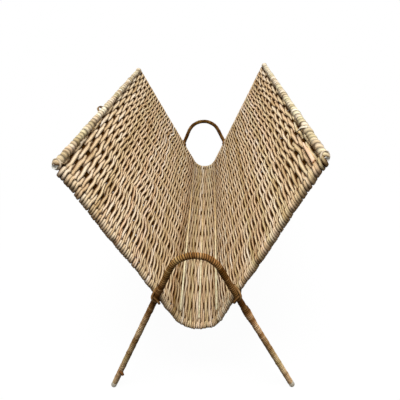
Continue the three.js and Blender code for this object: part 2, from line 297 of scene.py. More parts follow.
def ramp(tree, factor, *stops):
    made = node(tree, "ShaderNodeValToRGB", {"Fac": factor})
    elements = made.color_ramp.elements
    while len(elements) < len(stops):
        elements.new(0.5)
    for element, (place, colour) in zip(elements, stops):
        element.position = place
        element.color = colour
    return made.outputs["Color"]


def mixed(tree, factor, first, second, kind="MIX"):
    made = node(tree, "ShaderNodeMix", data_type="RGBA", blend_type=kind)
    for index, value in ((0, factor), (6, first), (7, second)):
        if isinstance(value, bpy.types.NodeSocket):
            tree.links.new(value, made.inputs[index])
        else:
            made.inputs[index].default_value = value
    return made.outputs[2]


def calc(tree, operation, first, second):
    return node(tree, "ShaderNodeMath", {0: first, 1: second}, operation=operation).outputs[0]


def noise(tree, vector, stretch, detail, roughness=0.55):
    scaled = node(tree, "ShaderNodeVectorMath", {0: vector, 1: stretch}, operation="MULTIPLY")
    return node(tree, "ShaderNodeTexNoise", {
        "Vector": scaled.outputs[0], "Scale": 1.0, "Detail": detail, "Roughness": roughness,
    }).outputs["Fac"]


def spread(tree, value, low, high):
    return node(tree, "ShaderNodeMapRange", {
        "Value": value, "To Min": low, "To Max": high,
    }).outputs["Result"]


FIBRE_SWING = 0.32
BLOTCH_SWING = 0.3
# Painted highlight along a strand's crown and painted shade on its sides, as factors on its colour
PAINTED_CROWN_LIGHT, PAINTED_SIDE_SHADE = 1.3, 0.5
# Where the painted shade in the grooves between strands begins, across a strand
GROOVE_SHADE_START = 0.66
# Warm tint of the painted shade
WARM_SHADE = linear(255, 216, 156)
GREENISH, PINKISH = linear(232, 240, 204), linear(255, 234, 228)
WHITE = (1, 1, 1, 1)


def cane_material(name, dark, middle, light, shade_colour, roughness, fibre_bump, gloss=0.0,
                  groove_shade_low=0.15, fibre_stretch=(40, 1500, 1500), blotch_stretch=(22, 90, 90)):
    """Cane with its fibres along it, blotches and a tint that wanders, with painted light on it: a
    painted highlight along each strand's crown, painted shade on its sides and in the grooves
    between strands, and a warm painted shade colour where its share of painted light is low."""
    material, tree, shader = new_material(name)
    grain = node(tree, "ShaderNodeAttribute", attribute_name="grain").outputs["Vector"]
    tone = node(tree, "ShaderNodeAttribute", attribute_name="tone").outputs["Fac"]
    hue = node(tree, "ShaderNodeAttribute", attribute_name="hue").outputs["Fac"]
    painted_light_share = node(tree, "ShaderNodeAttribute", attribute_name="painted_light").outputs["Fac"]
    fibres = noise(tree, grain, fibre_stretch, 3.0)
    blotches = noise(tree, grain, blotch_stretch, 2.0)
    level = calc(tree, "ADD", tone, spread(tree, fibres, -FIBRE_SWING, FIBRE_SWING))
    level = calc(tree, "ADD", level, spread(tree, blotches, -BLOTCH_SWING, BLOTCH_SWING))
    body = ramp(tree, level, (0.08, dark), (0.5, middle), (0.92, light))
    tint = ramp(tree, hue, (0.0, GREENISH), (0.5, WHITE), (1.0, PINKISH))
    body = mixed(tree, 1.0, body, tint, "MULTIPLY")
    crease = node(tree, "ShaderNodeAttribute", attribute_name="crease").outputs["Fac"]
    across = node(tree, "ShaderNodeSeparateXYZ", {"Vector": grain}).outputs["Y"]
    aside = calc(tree, "DIVIDE", calc(tree, "ABSOLUTE", across, 0.0), crease)
    # Painted highlight on the crown, fading to painted shade on the sides
    crown = node(tree, "ShaderNodeMapRange", {
        "Value": aside, "From Min": 0.0, "From Max": 0.9,
        "To Min": PAINTED_CROWN_LIGHT, "To Max": PAINTED_SIDE_SHADE,
    }, interpolation_type="SMOOTHSTEP").outputs["Result"]
    grey = node(tree, "ShaderNodeCombineColor", {0: crown, 1: crown, 2: crown}).outputs[0]
    body = mixed(tree, 1.0, body, grey, "MULTIPLY")
    groove_shade = node(tree, "ShaderNodeMapRange", {
        "Value": aside, "From Min": GROOVE_SHADE_START, "From Max": 1.0,
        "To Min": 1.0, "To Max": groove_shade_low,
    }, interpolation_type="SMOOTHSTEP").outputs["Result"]
    # Painted shade: the colour goes toward the shade colour where the painted light share is low
    # and in the grooves between strands
    share = calc(tree, "MULTIPLY", painted_light_share, groove_shade)
    # Warm painted shade, strongest where the share is low
    warmth = node(tree, "ShaderNodeMapRange", {"Value": share, "From Max": 0.5}).outputs["Result"]
    body = mixed(tree, 1.0, body, mixed(tree, warmth, WARM_SHADE, WHITE), "MULTIPLY")
    colour = mixed(tree, share, shade_colour, body)
    tree.links.new(colour, shader.inputs["Base Color"])
    tree.links.new(spread(tree, fibres, roughness - 0.1, roughness + 0.12),
                   shader.inputs["Roughness"])
    bump = node(tree, "ShaderNodeBump", {
        "Height": fibres, "Strength": 0.6, "Distance": fibre_bump,
    })
    tree.links.new(bump.outputs["Normal"], shader.inputs["Normal"])
    shader.inputs["Specular IOR Level"].default_value = gloss
    return material


def plain_material(name, low, high, roughness, metallic=0.0, scale=180.0, bump=0.08 * MM,
                   stain=None):
    """A hard surface with cloudy colour, uneven gloss and a little roughness. A stain tints it
    toward the back end."""
    material, tree, shader = new_material(name)
    place = node(tree, "ShaderNodeTexCoord").outputs["Object"]
    clouds = noise(tree, place, (scale, scale, scale), 3.0)
    specks = noise(tree, place, (scale * 9, scale * 9, scale * 9), 2.0)
    colour = ramp(tree, clouds, (0.3, low), (0.7, high))
    if stain:
        along = node(tree, "ShaderNodeSeparateXYZ", {"Vector": place}).outputs["Y"]
        back = node(tree, "ShaderNodeMapRange", {
            "Value": along, "From Min": -0.16, "From Max": 0.0,
        }).outputs["Result"]
        colour = mixed(tree, 1.0, colour, mixed(tree, back, WHITE, stain), "MULTIPLY")
    tree.links.new(colour, shader.inputs["Base Color"])
    tree.links.new(spread(tree, specks, roughness - 0.12, roughness + 0.12),
                   shader.inputs["Roughness"])
    made = node(tree, "ShaderNodeBump", {"Height": specks, "Strength": 0.4, "Distance": bump})
    tree.links.new(made.outputs["Normal"], shader.inputs["Normal"])
    shader.inputs["Metallic"].default_value = metallic
    return material


# Each cane's last colour is the colour of its painted shade
WEAVER = cane_material(
    "woven_cane", linear(160, 124, 70), linear(223, 197, 159), linear(251, 242, 225),
    linear(60, 24, 0), 0.5, 0.12 * MM)
RAIL = cane_material(
    "rail_cane", linear(124, 98, 64), linear(180, 162, 132), linear(224, 213, 192),
    linear(56, 32, 6), 0.42, 0.1 * MM, gloss=0.04, fibre_stretch=(30, 900, 900))
LEG = cane_material(
    "leg_cane", linear(88, 54, 18), linear(158, 118, 70), linear(230, 198, 152),
    linear(40, 22, 2), 0.5, 0.08 * MM, gloss=0.02, groove_shade_low=0.22, fibre_stretch=(60, 1500, 1500),
    blotch_stretch=(14, 60, 60))
# The stakes are dark cane made darker still by painted shade, so the holes between strands look
# shadowed
STAKE = cane_material(
    "stake_cane", linear(56, 32, 6), linear(80, 50, 14), linear(108, 74, 32),
    linear(44, 22, 0), 0.6, 0.1 * MM)
STEEL = plain_material(
    "rod_steel", linear(54, 38, 20), linear(84, 62, 38), 0.6, metallic=0.2)
TIP = plain_material(
    "rod_tip", linear(206, 202, 190), linear(238, 234, 222), 0.75, scale=400.0, bump=0.03 * MM)
WIRE = plain_material(
    "pale_wire", linear(200, 188, 146), linear(240, 230, 194), 0.5, scale=120.0,
    stain=linear(238, 214, 190))
CAP = plain_material(
    "foot_cap", linear(168, 158, 138), linear(206, 198, 180), 0.6, scale=300.0)


# The weave: one weaver laid in passes, over one stake and under the next, and wound one and
# a half turns round the rod at each end before it goes back

def by_end_rod(y, bays):
    """Rises from 0 to 1 over the last part of a bay before an end rod."""
    return smooth(HALF - BAY * bays, HALF, np.abs(y))


def weave_rows():
    """Where each pass lies between the rails."""
    fine = np.linspace(WEAVE_START, SLING.length - WEAVE_START, 4001)
    near = from_rails(fine)
    pitch = WEAVER_PITCH * (
        1 + COARSER_BY_RAILS * (1 - smooth(12 * MM, 62 * MM, near))
        - FINER_AT_BOTTOM * smooth(SLING.leg - 20 * MM, SLING.leg + 10 * MM, near))
    count = np.concatenate([[0], np.cumsum(np.diff(fine) / ((pitch[1:] + pitch[:-1]) / 2))])
    passes = int(round(count[-1])) // 2 * 2 + 1
    return np.interp(np.linspace(0, count[-1], passes), count, fine)


def weave_route(rows):
    """The weaver's route: its place between the rails and along them, its lift off the sling's
    middle, its offset from the end rod that it is wound round, its tone, hue and width, and how
    far each strand lies free of the next."""
    rng = np.random.default_rng(41)
    passes = len(rows)
    places = np.linspace(-HALF, HALF, BAYS * BAY_STEPS + 1)
    shifts = ROW_SHIFT * rng.uniform(-1, 1, passes)
    tones = 0.5 + rng.normal(0, 0.085, passes + 1)
    hues = 0.5 + rng.normal(0, 0.1, passes + 1)
    widths = rng.uniform(0.9, 1.12, passes + 1)
    share = np.linspace(0, 1, len(places))
    turn = np.arange(1, WRAP_STEPS) / WRAP_STEPS
    phi = TURN * (0.25 - WRAP_TURNS * turn)
    moved = np.clip(1.5 * turn - 0.25, 0, 1)
    flat = np.ones(len(turn))

    def wobble(number, y):
        return ripple(1000 + number, 90 * MM, 22 * MM, 4)(y)

    def row_end(number):
        """Where a pass meets the end rods: the outermost ones are drawn toward the rails."""
        drawn = DRAWN_IN * 0.45 ** min(number, passes - 1 - number)
        return rows[number] - math.copysign(drawn, passes / 2 - number)

    parts = []
    for number, row in enumerate(rows):
        sign = 1 if number % 2 == 0 else -1
        y = places[::sign]
        near_end, near_rod = by_end_rod(y, 0.45), by_end_rod(y, 0.35)
        low = smooth(SLING.leg - 8 * MM, SLING.leg + 8 * MM, from_rails(row))
        by_rails = 1 - smooth(30 * MM, 120 * MM, from_rails(row))
        s = row + (row_end(number) - row) * by_end_rod(y, 0.8) + shifts[number] * (1 - near_end)
        s = s + (LOOSENESS + LOOSER_BY_RAILS * (1 - near_end) * by_rails) * wobble(number, y)
        lift = (WEAVER_LIFT + (EDGE_LIFT - WEAVER_LIFT) * near_end) * (
            1 + 0.07 * ripple(3000 + number, 160 * MM, 30 * MM, 4)(y) * (1 - near_end))
        wave = sign * np.cos(math.pi * (y + HALF) / BAY)
        n = lift * wave * np.abs(wave)
        tone = tones[number] * (1 - share) + tones[number + 1] * share
        tone = tone + 0.07 * ripple(5000 + number, 300 * MM, 60 * MM, 4)(y)
        hue = hues[number] * (1 - share) + hues[number + 1] * share - 0.06 * low
        crest = np.where(wave > 0, INNER_WIDTH + LOW_EXTRA_WIDTH * low, OUTER_WIDTH)
        width = WAIST_WIDTH + (crest - WAIST_WIDTH) * np.abs(wave) ** 0.6
        width = width + (EDGE_WIDTH - width) * near_rod
        width = width * (widths[number] * (1 - share) + widths[number + 1] * share)
        apart = np.clip(np.abs(n) / WEAVER_LIFT, 0, 1) ** 0.7 * (1 + 0.8 * near_rod * (1 - low))
        parts.append((s, y, n, np.zeros((len(y), 2)), tone, hue, width, apart))
        if number == passes - 1:
            break
        next_s = row_end(number + 1) + LOOSENESS * wobble(number + 1, y[-1])
        side = math.copysign(1, y[-1])
        around = EDGE_LIFT * np.stack([side * np.cos(phi), sign * np.sin(phi)], -1)
        parts.append((
            s[-1] + (next_s - s[-1]) * moved, y[-1] * flat, 0 * flat, around,
            (tones[number + 1] - 0.02) * flat, hues[number + 1] * flat,
            widths[number + 1] * EDGE_WIDTH * flat, (1.8 - 1.3 * low) * flat))
    return [np.concatenate(column) for column in zip(*parts)]


def build_weave():
    rows = weave_rows()
    s, y, n, offset, tone, hue, width, apart = weave_route(rows)
    wrapped = np.abs(offset).sum(-1) > 0
    near_rod = by_end_rod(y, 0.35)

    # The rims and the rows wander a little
    upper = np.where(wrapped, offset[:, 1], n) / EDGE_LIFT
    s = s - EDGE_SLANT * upper * near_rod * np.clip((SLING.length / 2 - s) / (24 * MM), -1, 1)
    front_rim, back_rim = (ripple(seed, 110 * MM, 14 * MM) for seed in (11, 13))
    y = y + RIM_WANDER * near_rod * np.where(y < 0, front_rim(s), back_rim(s))
    at_bottom = smooth(SLING.leg - 30 * MM, SLING.leg, from_rails(s))
    y = y + LOW_RIM_WANDER * near_rod * at_bottom * ripple(23, 16 * MM, 6 * MM)(s)
    slow_y, slow_s = ripple(3, 420 * MM, 90 * MM), ripple(5, 300 * MM, 90 * MM)
    near_y, near_s = ripple(17, 140 * MM, 40 * MM), ripple(19, 150 * MM, 45 * MM)
    slow_d = ripple(7, 380 * MM, 110 * MM)
    warp = (1.1 * slow_y(y) * slow_s(s) + 0.6 * slow_d(y + 0.7 * s)
            + (1 - 0.8 * at_bottom) * near_y(y) * near_s(s))
    s = s + MM * warp * smooth(0, 26 * MM, from_rails(s) - WEAVE_START)

    # The edge is fuller on its outer side above the front crossings, and at every corner
    lift = n + offset[:, 1]
    crossed = SLING.length - (RAIL_HEIGHT - crossing("front")[1]) / math.cos(SLING.lean)
    above = np.maximum(s, SLING.length - s) - crossed
    from_here = np.where(s > SLING.length / 2, 10 * MM, 40 * MM)
    corner = 1 - smooth(3 * MM, 32 * MM, from_rails(s))
    along_edge = EDGE_FULLER * smooth(from_here, from_here + 30 * MM, above) * (y < 0)
    fuller = np.maximum(along_edge, CORNER_FULLER * corner)
    lift = lift * (1 + fuller * near_rod * (lift < 0))
    offset[:, 0] *= 1 + CORNER_FULLER * corner

    normal = SLING.across(s)
    centres = SLING.at(s) + lift[:, None] * normal
    centres[:, 1] = y + offset[:, 0]
    section = ellipse(WEAVER_SIDES, 0.75)
    pitch = np.interp(s, rows, np.gradient(rows))
    half_width = width / 2 * pitch / WEAVER_PITCH
    half_thickness = WEAVER_THICKNESS / 2 * (pitch / WEAVER_PITCH) ** 0.4 * (
        1 + 0.05 * slow_d(run_length(centres) * 3))
    vertices, across, up = swept(centres, SLING.along(s), half_width, half_thickness, section)

    # Painted shade: darker in the hollows under and between strands, under the rims, by the rails
    # and towards the bottom of the V
    radial = np.stack([0 * lift, offset[:, 0], lift], -1)
    radial = radial / np.maximum(np.linalg.norm(radial, axis=-1, keepdims=True), 1e-9)
    out_wrap = radial[:, 1, None] * np.array([0, 1, 0]) + radial[:, 2, None] * normal
    out = np.where(wrapped[:, None], out_wrap, normal)
    depth = np.where(wrapped, EDGE_LIFT, lift)
    facing = ((across + up) * out[:, None, :]).sum(-1)
    height = depth[:, None] * facing / half_thickness[:, None] + np.abs(facing)
    low = smooth(SLING.leg - 30 * MM, SLING.leg + 10 * MM, from_rails(s))
    # Painted shade on the underside of the wraps round the end rods, and where the weave meets the
    # rails
    under = np.where(wrapped, smooth(-0.85, 0.4, -radial[:, 2]), 0)
    by_rail = 1 - smooth(4 * MM, 9 * MM, from_rails(s) + 2 * MM * slow_y(3 * y))
    shade = (1 - 0.37 * low * (1 - 0.6 * near_rod)) * (1 - (0.55 - 0.27 * low) * under)
    shade *= (1 - 0.1 * near_rod) * (1 - 0.3 * by_rail)
    painted_light_share = smooth(-2.4 * MM, 1.2 * MM, height) ** 1.3 * shade[:, None]
    crease = pitch / 2 + (half_width - pitch / 2) * apart
    attributes = strand_attributes(
        centres, section, half_width, half_thickness, tone, hue, painted_light_share, crease=crease)
    return make_piece("sling_weave", vertices.reshape(-1, 3), tube_faces(len(s), WEAVER_SIDES),
                      WEAVER, ["woven_sling"], attributes)


# Flat canes that the weaver passes over and under, from rail to rail

def build_stakes():
    section = ellipse(16, 0.7) * np.array([STAKE_WIDTH, STAKE_THICKNESS]) / 2
    start = RAIL_CANE + ROD + 0.6 * MM
    s = np.linspace(start, SLING.length - start, 90)
    flat = np.ones(len(s))
    wide = np.tile((0.0, 1.0, 0.0), (len(s), 1))
    for number in range(1, BAYS):
        rng = np.random.default_rng(500 + number)
        wander = ripple(int(rng.integers(1 << 30)), 200 * MM, 50 * MM, 3)
        centres = SLING.at(s)
        centres[:, 1] = number * BAY - HALF + 0.25 * MM * wander(s)
        vertices = swept(centres, wide, flat, flat, section)[0]
        # Each stake gets half its share of painted light: painted shade
        attributes = strand_attributes(
            centres, section, flat, flat, 0.4 + 0.1 * wander(s), 0.5 + 0.2 * wander(s + 1), 0.5,
            7.0 * number)
        make_piece(f"stake_{number:02d}_cane", vertices.reshape(-1, 3),
                   tube_faces(len(s), len(section)), STAKE,
                   [f"stake_{number:02d}"], attributes)


# Bindings: a strip of cane wound round a rod, edge to edge

def wound_strip(rng, start, end, pitches, steps, frame_at, radius_at, cane, tone, hue, lump,
                bulk=0.0, sideways=0, underside=0.0):
    """Vertices, faces and attributes of a strip wound from start to end, its turns' pitches between
    two values. The strip's lower edges get painted shade; sideways, -1 or 1, paints shade on a
    rail's inner side, and underside paints shade on what faces down."""
    low_pitch, high_pitch = pitches
    stops = [start]
    while stops[-1] < end:
        stops.append(stops[-1] + rng.uniform(low_pitch, high_pitch))
    stops = np.array(stops)
    stops = start + (stops - start) * (end - start) / (stops[-1] - start)
    turns = len(stops) - 1
    place = np.arange(turns * steps + 1) / steps
    index = np.arange(turns + 1)
    s = np.interp(place, index, stops)
    ahead = np.interp(place + 1, index, stops)
    behind = np.interp(place - 1, index, stops)
    whole = (np.minimum(place + 1, turns) - np.maximum(place - 1, 0))
    width = (ahead - behind) / whole
    centre, axis, first, second = frame_at(s)
    turn = TURN * place
    out = np.cos(turn)[:, None] * first + np.sin(turn)[:, None] * second
    lumps = ripple(int(rng.integers(1 << 30)), high_pitch * 9, high_pitch * 0.7, 6)
    thickness = max(cane, bulk)
    radius = radius_at(s) + cane * 0.95 - thickness / 2 + lump * lumps(place * high_pitch)
    centres = centre + radius[:, None] * out
    tangent = unit(np.gradient(centres, axis=0))
    wide = unit(axis + STRIP_TILT * out)
    if (np.cross(tangent, wide) * out).sum(-1).mean() < 0:
        wide = -wide
    half_width = width / 2 * STRIP_OVERLAP
    half_thickness = np.full(len(s), thickness / 2)
    vertices = swept(centres, wide, half_width, half_thickness, STRIP)[0]
    tones = tone(s, rng)
    hues = hue(s, rng)
    # Painted shade on what faces down, or in lumps on a rail's inner side
    lit = 1 - underside * (1 - smooth(-0.42, 0.34, out[:, 2]))
    if sideways:
        inward = -sideways * out[:, 0] * math.cos(0.5) - out[:, 2] * math.sin(0.5)
        depth = np.clip(0.3 + 0.4 * lumps(place * high_pitch + 1), 0, 0.9)
        lit = 1 - depth * smooth(0.35, 0.9, inward)
    painted_light_share = smooth(-0.7, 0.7, STRIP[:, 1])[None, :] * lit[:, None]
    attributes = strand_attributes(
        centres, STRIP, half_width, half_thickness, tones, hues, painted_light_share, rng.uniform(0, 50))
    return vertices.reshape(-1, 3), tube_faces(len(s), len(STRIP)), attributes


def turn_tones(base, size, turn_length):
    """One tone for each turn or so of a binding."""
    def value(s, rng):
        count = int(np.ptp(s) / turn_length) + 2
        marks = rng.normal(0, size, count)
        return base + np.interp((s - s.min()) / turn_length, np.arange(count), marks)
    return value


def build_rails():
    length = SLING_LENGTH + 6 * MM
    for number, (side, sideways) in enumerate(SIDES):
        rng = np.random.default_rng(70 + number)
        x = sideways * RAIL_SPACING / 2

        def frame_at(s):
            rows = len(s)
            centre = np.stack([np.full(rows, x), s, np.full(rows, RAIL_HEIGHT)], -1)
            return (centre, np.tile((0.0, 1.0, 0.0), (rows, 1)),
                    np.tile((1.0, 0.0, 0.0), (rows, 1)), np.tile((0.0, 0.0, 1.0), (rows, 1)))

        swells = rng.uniform(*RAIL_SWELL, BAYS + 1)

        def radius_at(s):
            stake = (s + HALF) / BAY
            nearest = np.clip(np.round(stake), 1, BAYS - 1).astype(int)
            aside = (stake - nearest) * BAY / (7 * MM)
            return ROD + 0.15 * MM + swells[nearest] * np.exp(-aside ** 2)

        # The right rail's wrap is painted a little lighter than the left's: painted light
        vertices, faces, attributes = wound_strip(
            rng, -length / 2, length / 2, RAIL_TURNS, 20, frame_at, radius_at, RAIL_CANE,
            turn_tones(0.57 + 0.06 * sideways, 0.16, 8 * MM), turn_tones(0.46, 0.13, 12 * MM),
            RAIL_LUMPS, RAIL_BULK, sideways)
        make_piece(f"{side}_rail_wrap", vertices, faces, RAIL,
                   [f"{side}_rail_binding"], attributes)


def build_leg_wraps():
    trim = CAP_LENGTH + 0.3 * MM
    for number, (end, endways) in enumerate(ENDS):
        rng = np.random.default_rng(90 + number)
        y = endways * HOOP_Y
        hoop = HOOPS[end]
        middle, half_bend = hoop.length / 2, hoop.bend / 2

        def frame_at(s):
            centre = hoop.at(s)
            centre[:, 1] = y
            return centre, hoop.along(s), np.tile((0.0, 1.0, 0.0), (len(s), 1)), hoop.across(s)

        def tone(s, rng):
            wander = turn_tones(0.0, 0.13, 3.2 * MM)(s, rng)
            wander = wander + turn_tones(0.0, 0.08, 22 * MM)(s, rng)
            from_foot = np.minimum(s, hoop.length - s)
            arch = smooth(hoop.leg * 0.55, hoop.leg * 0.75, from_foot)
            foot = 1 - smooth(20 * MM, 70 * MM, from_foot)
            return 0.74 + wander - (0.52 if endways < 0 else 0.56) * arch + 0.1 * foot

        def hue(s, rng):
            wander = turn_tones(0.0, 0.08, 7 * MM)(s, rng) + turn_tones(0.0, 0.2, 26 * MM)(s, rng)
            arch = smooth(hoop.leg * 0.6, hoop.leg * 0.9, np.minimum(s, hoop.length - s))
            past_crown = smooth(middle, middle + half_bend, s)
            return (0.54 if endways < 0 else 0.3) + wander - 0.12 * arch + 0.12 * past_crown

        def radius_at(s):
            past = s - hoop.length + SECOND_LAYER_TOP / math.cos(hoop.lean)
            doubled = smooth(0, 1.5 * MM, past) * (1 - smooth(6 * MM, 34 * MM, past))
            return ROD + 0.25 * MM + (SECOND_LAYER * doubled if endways < 0 else 0)

        # underside gives the legs painted shade on what faces down
        vertices, faces, attributes = wound_strip(
            rng, trim, hoop.length - trim, LEG_TURNS, 12, frame_at, radius_at, LEG_CANE, tone, hue,
            LEG_LUMPS, underside=0.6)
        make_piece(f"{end}_leg_wrap", vertices, faces, LEG,
                   [f"{end}_leg_binding"], attributes)


# Lashings: one strand that goes from a slot in the weave round the hoop and back, twice

LASH_TURNS = 2
LASH_POINTS = 72
LASH_HELD = 6
LASH_PITCH = 2.8 * MM
LASH_WIDTH = 2.8 * MM
LASH_THICKNESS = 1.7 * MM
LASH_APART = 3.0 * MM
LASH_SLOT = 5.4 * MM


def crossing(end):
    side, leg = math.tan(SLING.lean), math.tan(HOOPS[end].lean)
    height = (FOOT_SPACING / 2 - RAIL_SPACING / 2 + RAIL_HEIGHT * side) / (side + leg)
    return FOOT_SPACING / 2 - height * leg, height


def straight_run(corners, steps):
    corners = np.array(corners)
    run = run_length(corners)
    even = np.linspace(0, run[-1], steps + 1)[1:]
    return np.stack([np.interp(even, run, corners[:, axis]) for axis in range(3)], -1)


def push_off(points, free, off, ahead, reach):
    """Move the free points out of a round bar where they lie nearer than reach to its middle."""
    sideways = points @ off
    distance = np.maximum(np.hypot(sideways, ahead), 1e-9)
    excess = np.where(free & (distance < reach), reach / distance - 1, 0)
    points += (sideways * excess)[:, None] * off
    points[:, 1] += ahead * excess


def tight_lashing(end):
    """The strand's route, pulled tight round the sling's edge and the hoop, measured from
    where the two cross: x outward, y toward the hoop, z up."""
    side, leg = SLING.lean, HOOPS[end].lean
    gap = HOOP_Y - HALF
    edge_reach = EDGE_LIFT + WEAVER_THICKNESS / 2 + LASH_THICKNESS / 2 + 0.3 * MM
    hoop_reach = ROD + 0.25 * MM + LEG_CANE + LASH_THICKNESS / 2 + 0.1 * MM
    along = np.array((math.sin(side), 0, math.cos(side)))
    off_edge = np.array((-math.cos(side), 0, math.sin(side)))
    off_hoop = np.array((math.cos(leg), 0, math.sin(leg)))
    fork = np.linalg.solve([off_edge[::2], off_hoop[::2]], [edge_reach, hoop_reach])
    front = gap + hoop_reach

    def slot(turn, face):
        return (np.array((0, -LASH_SLOT, 0)) + (turn - LASH_TURNS / 2) * LASH_PITCH * along
                + face * edge_reach * off_edge)

    runs, held = [slot(0, 0)[None]], [True]
    for turn in range(LASH_TURNS):
        raised = (turn - (LASH_TURNS - 1) / 2) * LASH_APART
        corners = [slot(turn, -1)]
        for way, y in ((-1, 0), (-1, front), (1, front), (1, 0)):
            corners.append((way * fork[0], y, way * fork[1] + raised))
        corners.append(slot(turn + 1, 1))
        open_steps = LASH_POINTS - 2 * LASH_HELD
        runs += [straight_run([slot(turn, 0), slot(turn, -1)], LASH_HELD),
                 straight_run(corners, open_steps),
                 straight_run([slot(turn + 1, 1), slot(turn + 1, 0)], LASH_HELD)]
        held += [True] * LASH_HELD + [False] * (open_steps - 1) + [True] * (LASH_HELD + 1)
    points, free = np.concatenate(runs), ~np.array(held)
    index = np.arange(len(points))
    other_turn = np.abs(index[:, None] - index) > LASH_POINTS // 2
    for _ in range(1500):
        middle = (np.roll(points, 1, 0) + np.roll(points, -1, 0)) / 2
        points[free] += 0.6 * (middle - points)[free]
        between = points[:, None] - points
        distance = np.linalg.norm(between, axis=2)
        close = other_turn & (distance < LASH_APART)
        share = np.where(close, (LASH_APART - distance) / np.maximum(distance, 1e-9) / 2, 0)
        points[free] += (share[:, :, None] * between).sum(1)[free]
        push_off(points, free, off_edge, np.maximum(points[:, 1], 0), edge_reach)
        push_off(points, free, off_hoop, points[:, 1] - gap, hoop_reach)
    return points


def build_lashings():
    middle = np.array((0, (HOOP_Y - HALF) / 2, 0))
    section = ellipse(10)
    for number, (end, endways) in enumerate(ENDS):
        x, height = crossing(end)
        route = tight_lashing(end)
        run = run_length(route)
        even = np.linspace(0, run[-1], 200)
        route = np.stack([np.interp(even, run, route[:, axis]) for axis in range(3)], -1)
        for _ in range(4):
            route[1:-1] = (route[:-2] + 2 * route[1:-1] + route[2:]) / 4
        half_width = np.full(len(route), LASH_WIDTH / 2)
        half_thickness = np.full(len(route), LASH_THICKNESS / 2)
        for other, (name, sideways) in enumerate(SIDES):
            mirror = np.array((sideways, endways, 1))
            centres = route * mirror + np.array((sideways * x, endways * HALF, height))
            out = (route - middle) * mirror
            tangent = unit(np.gradient(centres, axis=0))
            wide = np.cross(tangent, out)
            vertices = swept(centres, wide, half_width, half_thickness, section)[0]
            # The lashings are painted dark, at half painted light share and lower where they face
            # down: painted shade at the crossings
            tone = 0.4 + 0.16 * ripple(300 + number * 2 + other, 60 * MM, 9 * MM)(even)
            hue = np.full(len(centres), 0.6)
            painted_light_share = 0.5 - 0.3 * smooth(0.0, 0.8, -unit(out)[:, 2])
            attributes = strand_attributes(
                centres, section, half_width, half_thickness, tone, hue, painted_light_share[:, None], 3.0)
            make_piece(f"lashing_wrap_{end}_{name}", vertices.reshape(-1, 3),
                       tube_faces(len(centres), len(section)), LEG,
                       [f"lashing_{end}_{name}"], attributes)


# Cane ends that have come away, and the tight last turn of cane at each corner. Corners are
# x, y and z in millimetres

def loose_cane(name, corners, widths, thickness, out, material, nodes, tone, hue):
    """A flat cane along a rounded route. Its crown faces out, or without that away from the
    route's middle."""
    corners = np.array(corners, float) * MM
    run = run_length(corners)
    even = np.linspace(0, run[-1], 40)
    centres = np.stack([np.interp(even, run, corners[:, axis]) for axis in range(3)], -1)
    for _ in range(12):
        centres[1:-1] = (centres[:-2] + 2 * centres[1:-1] + centres[2:]) / 4
    share = even / run[-1]
    half_width = np.interp(share, np.linspace(0, 1, len(widths)), widths) * MM / 2
    half_thickness = np.full(len(even), thickness * MM / 2)
    out = centres - centres.mean(0) if out is None else np.array(out, float)
    wide = np.cross(unit(np.gradient(centres, axis=0)), unit(out))
    section = ellipse(10, 0.8)
    vertices = swept(centres, wide, half_width, half_thickness, section)[0]
    attributes = strand_attributes(
        centres, section, half_width, half_thickness, np.full(len(even), tone),
        np.full(len(even), hue), 1.0, 3.0, half_width * 1.5)
    make_piece(name, vertices.reshape(-1, 3), tube_faces(len(even), len(section)), material,
               nodes, attributes)


def build_loose_ends():
    def on_right_wall(down, y, lift):
        place = np.array((RAIL_SPACING / 2, 0, RAIL_HEIGHT)) / MM
        place -= down * np.array((math.sin(SLING.lean), 0, math.cos(SLING.lean)))
        place += lift * np.array((-math.cos(SLING.lean), 0, math.sin(SLING.lean)))
        return place[0], y, place[2]

    inward = (-1, 0, 0.5)
    weaver_end = ((9.6, -176, 3.6), (9.4, -190, 5.0), (9.0, -206, 4.8), (9.6, -224, 4.4))
    loose_cane("loose_weaver_end", [on_right_wall(*place) for place in weaver_end],
               (1.6, 3.4, 4.4, 4.6), 1.8, inward, WEAVER, ["woven_sling"],
               0.66, 0.95)
    rail_turn = ((9.0, -141, 3.2), (5.5, -148, 5.6), (0.5, -154, 6.6), (-4.0, -161, 3.5))
    loose_cane("loose_rail_turn", [on_right_wall(*place) for place in rail_turn],
               (2.6, 2.6, 2.8), 1.6, inward, RAIL, ["right_rail_binding"], 0.9, 0.5)
    rail_end = ((-127, -49, 322.5), (-129.6, -52.5, 324.8), (-131, -57, 324), (-129.5, -60, 321))
    loose_cane("loose_rail_end", rail_end, (3.6, 3.8, 3.0), 1.8, (-0.6, -0.3, 0.7), RAIL,
               ["left_rail_binding"], 0.2, 0.6)
    turn = np.linspace(-0.9, 1.1, 24)[:, None] * math.pi
    for end, endways in ENDS:
        for side, sideways in SIDES:
            down = np.array((-sideways * math.sin(SLING.lean), 0, -math.cos(SLING.lean)))
            inside = np.array((-sideways * math.cos(SLING.lean), 0, math.sin(SLING.lean)))
            rod_end = np.array((sideways * RAIL_SPACING / 2, endways * HALF, RAIL_HEIGHT)) / MM
            middle = rod_end + (0, 0.3 * endways, 0) - 0.2 * down
            slant = 4.1 * down + np.array((0, 4.1 * endways, 0))
            corners = middle + np.cos(turn) * slant + 4.4 * np.sin(turn) * inside
            loose_cane(f"corner_turn_{end}_{side}", corners, (3.0, 3.4, 3.0), 1.5, None, RAIL,
                       [f"{side}_rail_binding"], 0.66, 0.6)
    leg_end = ((-104.5, -242, 34), (-101.8, -242.4, 30.5), (-101.4, -242, 25.5))
    loose_cane("loose_leg_end", leg_end, (4.0, 3.8, 3.2), 1.4, (0.4, -1, 0), LEG,
               ["front_leg_binding"], 0.25, 1.0)


# Turned pieces: rods, wires and foot caps

